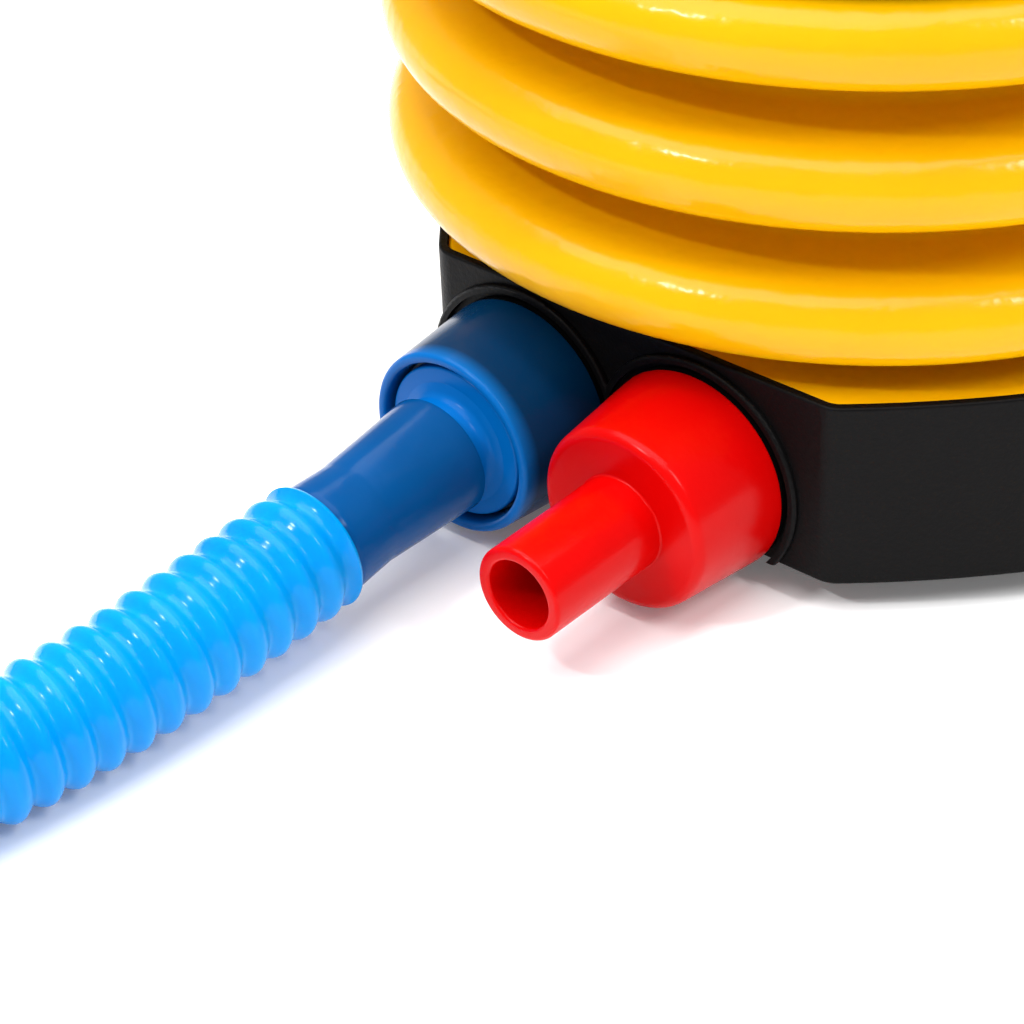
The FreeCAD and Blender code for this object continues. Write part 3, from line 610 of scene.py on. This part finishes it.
def plastic(name, dark, light, roughness, spread=0.06, grain=900.0, bump=0.06, mottle=35.0):
    """Moulded plastic: slow colour and gloss variation, and a fine moulded grain in its bump."""
    mat, shader, add, link = material(name)
    place = add("ShaderNodeTexCoord")
    slow = add("ShaderNodeTexNoise", Scale=mottle, Detail=3.0, Roughness=0.55)
    link(place.outputs["Object"], slow.inputs["Vector"])
    ramp = add("ShaderNodeValToRGB")
    ramp.color_ramp.elements[0].position = 0.3
    ramp.color_ramp.elements[0].color = (*dark, 1)
    ramp.color_ramp.elements[1].position = 0.7
    ramp.color_ramp.elements[1].color = (*light, 1)
    link(slow.outputs["Fac"], ramp.inputs["Fac"])
    link(ramp.outputs["Color"], shader.inputs["Base Color"])
    gloss = add("ShaderNodeTexNoise", Scale=mottle * 4, Detail=4.0)
    link(place.outputs["Object"], gloss.inputs["Vector"])
    rough = add("ShaderNodeMapRange")
    rough.inputs["To Min"].default_value = roughness - spread
    rough.inputs["To Max"].default_value = roughness + spread
    link(gloss.outputs["Fac"], rough.inputs["Value"])
    link(rough.outputs["Result"], shader.inputs["Roughness"])
    fine = add("ShaderNodeTexNoise", Scale=grain, Detail=2.0)
    link(place.outputs["Object"], fine.inputs["Vector"])
    height = add("ShaderNodeBump", Strength=bump, Distance=0.0003)
    link(fine.outputs["Fac"], height.inputs["Height"])
    link(height.outputs["Normal"], shader.inputs["Normal"])
    return mat, shader, add, link


def black_plastic():
    mat, shader, *_ = plastic(
        "black_casing", (0.0016, 0.0015, 0.0016), (0.0026, 0.0024, 0.0026), 0.46, grain=1600, bump=0.2
    )
    shader.inputs["Specular IOR Level"].default_value = 0.08
    return mat


def red_plastic():
    mat, shader, *_ = plastic(
        "red_plastic", (0.47, 0.0004, 0.0004), (0.55, 0.0007, 0.0007), 0.22, bump=0.08
    )
    shader.inputs["Specular IOR Level"].default_value = 0.1
    shader.inputs["Subsurface Weight"].default_value = 0.12
    shader.inputs["Subsurface Radius"].default_value = (0.004, 0.0008, 0.0005)
    shader.inputs["Subsurface Scale"].default_value = 1.0
    return mat


# A lighter copy of the cup's navy, used on the plug: painted light shining through the thin plug disc.
def lit_blue_plastic():
    mat, shader, *_ = plastic(
        "lit_blue_plastic", (0.0002, 0.105, 0.38), (0.0004, 0.13, 0.45), 0.24, bump=0.06
    )
    shader.inputs["Specular IOR Level"].default_value = 0.07
    return mat


def navy_plastic():
    """The cup's blue: deep over the body, brighter in the thin lip at its mouth, which is painted
    light shining through the thin plastic.
    """
    mat, shader, add, link = plastic(
        "navy_plastic", (0.0004, 0.020, 0.066), (0.0008, 0.029, 0.088), 0.24, bump=0.06
    )
    shader.inputs["Specular IOR Level"].default_value = 0.09
    low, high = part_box("outlet_cup")
    place = add("ShaderNodeTexCoord")
    split = add("ShaderNodeSeparateXYZ")
    link(place.outputs["Object"], split.inputs["Vector"])
    # Painted light: towards the mouth the colour is blended to a brighter blue, standing for light
    # shining through the thin lip.
    lip = add("ShaderNodeMapRange")
    lip.inputs["From Min"].default_value = low.y + 0.4 * MM
    lip.inputs["From Max"].default_value = low.y + 2.6 * MM
    lip.inputs["To Min"].default_value = 0.85
    lip.inputs["To Max"].default_value = 0.0
    link(split.outputs["Y"], lip.inputs["Value"])
    body = shader.inputs["Base Color"].links[0].from_socket
    painted_light_lip_mix = add("ShaderNodeMix", data_type="RGBA")
    painted_light_lip_mix.inputs[7].default_value = (0.001, 0.12, 0.42, 1)
    link(lip.outputs["Result"], painted_light_lip_mix.inputs[0])
    link(body, painted_light_lip_mix.inputs[6])
    link(painted_light_lip_mix.outputs[2], shader.inputs["Base Color"])
    return mat


def cuff_plastic():
    mat, shader, *_ = plastic(
        "cuff_plastic", (0.0002, 0.046, 0.17), (0.0004, 0.064, 0.23), 0.18, bump=0.15, grain=420
    )
    shader.inputs["Specular IOR Level"].default_value = 0.07
    return mat


def hose_plastic():
    mat, shader, *_ = plastic("hose_plastic", (0.0, 0.20, 0.58), (0.0003, 0.26, 0.66), 0.15, bump=0.04)
    shader.inputs["Specular IOR Level"].default_value = 0.12
    shader.inputs["Subsurface Weight"].default_value = 0.25
    shader.inputs["Subsurface Radius"].default_value = (0.0005, 0.002, 0.004)
    shader.inputs["Subsurface Scale"].default_value = 1.0
    return mat


def bellows_vinyl():
    mat, shader, *_ = plastic(
        "bellows_vinyl", (0.67, 0.335, 0.0006), (0.74, 0.38, 0.0009), 0.19,
        spread=0.04, grain=330, bump=0.5, mottle=18,
    )
    shader.inputs["Specular IOR Level"].default_value = 0.2
    shader.inputs["Subsurface Weight"].default_value = 0.15
    shader.inputs["Subsurface Radius"].default_value = (0.004, 0.002, 0.0003)
    shader.inputs["Subsurface Scale"].default_value = 1.0
    return mat


def rubber():
    mat, *_ = plastic(
        "black_rubber", (0.016, 0.016, 0.016), (0.026, 0.026, 0.026), 0.62, grain=1200, bump=0.25
    )
    return mat


def white_plastic():
    mat, *_ = plastic("natural_plastic", (0.60, 0.60, 0.57), (0.70, 0.70, 0.68), 0.42)
    return mat


def steel(name, colour, roughness):
    light = tuple(min(c * 1.15, 1) for c in colour)
    mat, shader, *_ = plastic(name, colour, light, roughness, grain=2500, bump=0.12)
    shader.inputs["Metallic"].default_value = 1.0
    return mat


# ---- stage ---------------------------------------------------------------------------------------
def add_floor():
    size = 3.0
    corners = [(-size, -size, 0), (size, -size, 0), (size, size, 0), (-size, size, 0)]
    piece = new_mesh("floor", corners, [[0, 1, 2, 3]])
    mat, shader, *_ = material("floor_white")
    shader.inputs["Base Color"].default_value = (0.95, 0.95, 0.95, 1)
    shader.inputs["Emission Color"].default_value = (1, 1, 1, 1)
    shader.inputs["Emission Strength"].default_value = 0.1
    shader.inputs["Roughness"].default_value = 0.55
    piece.data.materials.append(mat)


def add_light(name, place, aim, size, power):
    """Rectangular softbox at a place, turned to its aim."""
    data = bpy.data.lights.new(name, "AREA")
    data.shape = "RECTANGLE"
    data.size, data.size_y = size
    data.energy = power
    lamp = bpy.data.objects.new(name, data)
    bpy.context.scene.collection.objects.link(lamp)
    lamp.location = place
    lamp.rotation_euler = (Vector(aim) - Vector(place)).to_track_quat("-Z", "Y").to_euler()


def add_lights():
    world = bpy.data.worlds.new("studio")
    world.use_nodes = True
    world.node_tree.nodes["Background"].inputs["Color"].default_value = (1, 1, 1, 1)
    world.node_tree.nodes["Background"].inputs["Strength"].default_value = 0.45
    bpy.context.scene.world = world
    add_light("softbox_top", (-0.15, -0.02, 1.05), (0, -0.02, 0), (1.5, 1.3), 28)
    add_light("softbox_right", (0.62, -0.10, 0.75), (0, -0.03, 0.02), (0.08, 0.25), 2.6)
    add_light("strip_front", (-0.16, -0.66, 0.72), (0, 0, 0.03), (0.10, 0.05), 2.8)


def paint(names, mat):
    """Gives the CAD nodes their material."""
    for name in names:
        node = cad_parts[name]
        node.data.materials.clear()
        node.data.materials.append(mat)


def dress(piece, body, replaced, mat):
    """Gives a piece its material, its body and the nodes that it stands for."""
    piece.data.materials.append(mat)
    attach(piece, body)
    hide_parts(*replaced)


# ---- make ----------------------------------------------------------------------------------------
bpy.context.scene.view_settings.view_transform = "Standard"
add_camera()
hose, hose_points, hose_length = build_hose()

casing = black_plastic()
soft_rubber = rubber()
white = white_plastic()
blue = lit_blue_plastic()
zinc = steel("zinc_screws", (0.55, 0.55, 0.56), 0.35)

dress(hose, "hose_set", ["hose"], hose_plastic())
dress(build_red_cap(), "red_cap", ["inlet_cap"], red_plastic())
dress(build_blue_cup(), "blue_cup", ["outlet_cup"], navy_plastic())
dress(build_plug(), "hose_set", ["hose_plug"], blue)
dress(build_neck(), "hose_set", ["hose_plug"], blue)
cuff = cuff_plastic()
dress(build_cuff(), "hose_set", ["hose_cuff"], cuff)
dress(build_end_cuff(), "hose_set", ["end_cuff"], cuff)
dress(build_nozzle(), "hose_set", ["inflation_nozzle"], casing)

skin = build_bellows()
vinyl = bellows_vinyl()
dress(skin, "base", ["bellows"], vinyl)
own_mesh(skin)
dress(build_flange(), "base", ["bellows"], vinyl)

coil = build_spring()
dress(coil, "base", ["return_spring"], steel("spring_wire", (0.40, 0.40, 0.41), 0.30))
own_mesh(coil)

paint(["base_case", "base_cover", "pedal_plate", "inlet_spigot", "outlet_spigot", "lower_clamp_ring",
       "upper_clamp_ring"], casing)
paint(["rubber_feet", "cover_gasket", "inlet_gasket", "outlet_gasket", "plug_seal", "inlet_valve_flap",
       "outlet_valve_flap", "tread_pad"], soft_rubber)
paint(["valve_box", "inlet_valve_seat", "outlet_valve_seat", "lower_spring_seat",
       "upper_spring_seat"], white)
paint(["cover_screws", "clamp_screws", "pedal_screws"], zinc)
paint(["ball_needle"], steel("needle_nickel", (0.72, 0.70, 0.66), 0.16))

add_floor()
add_lights()
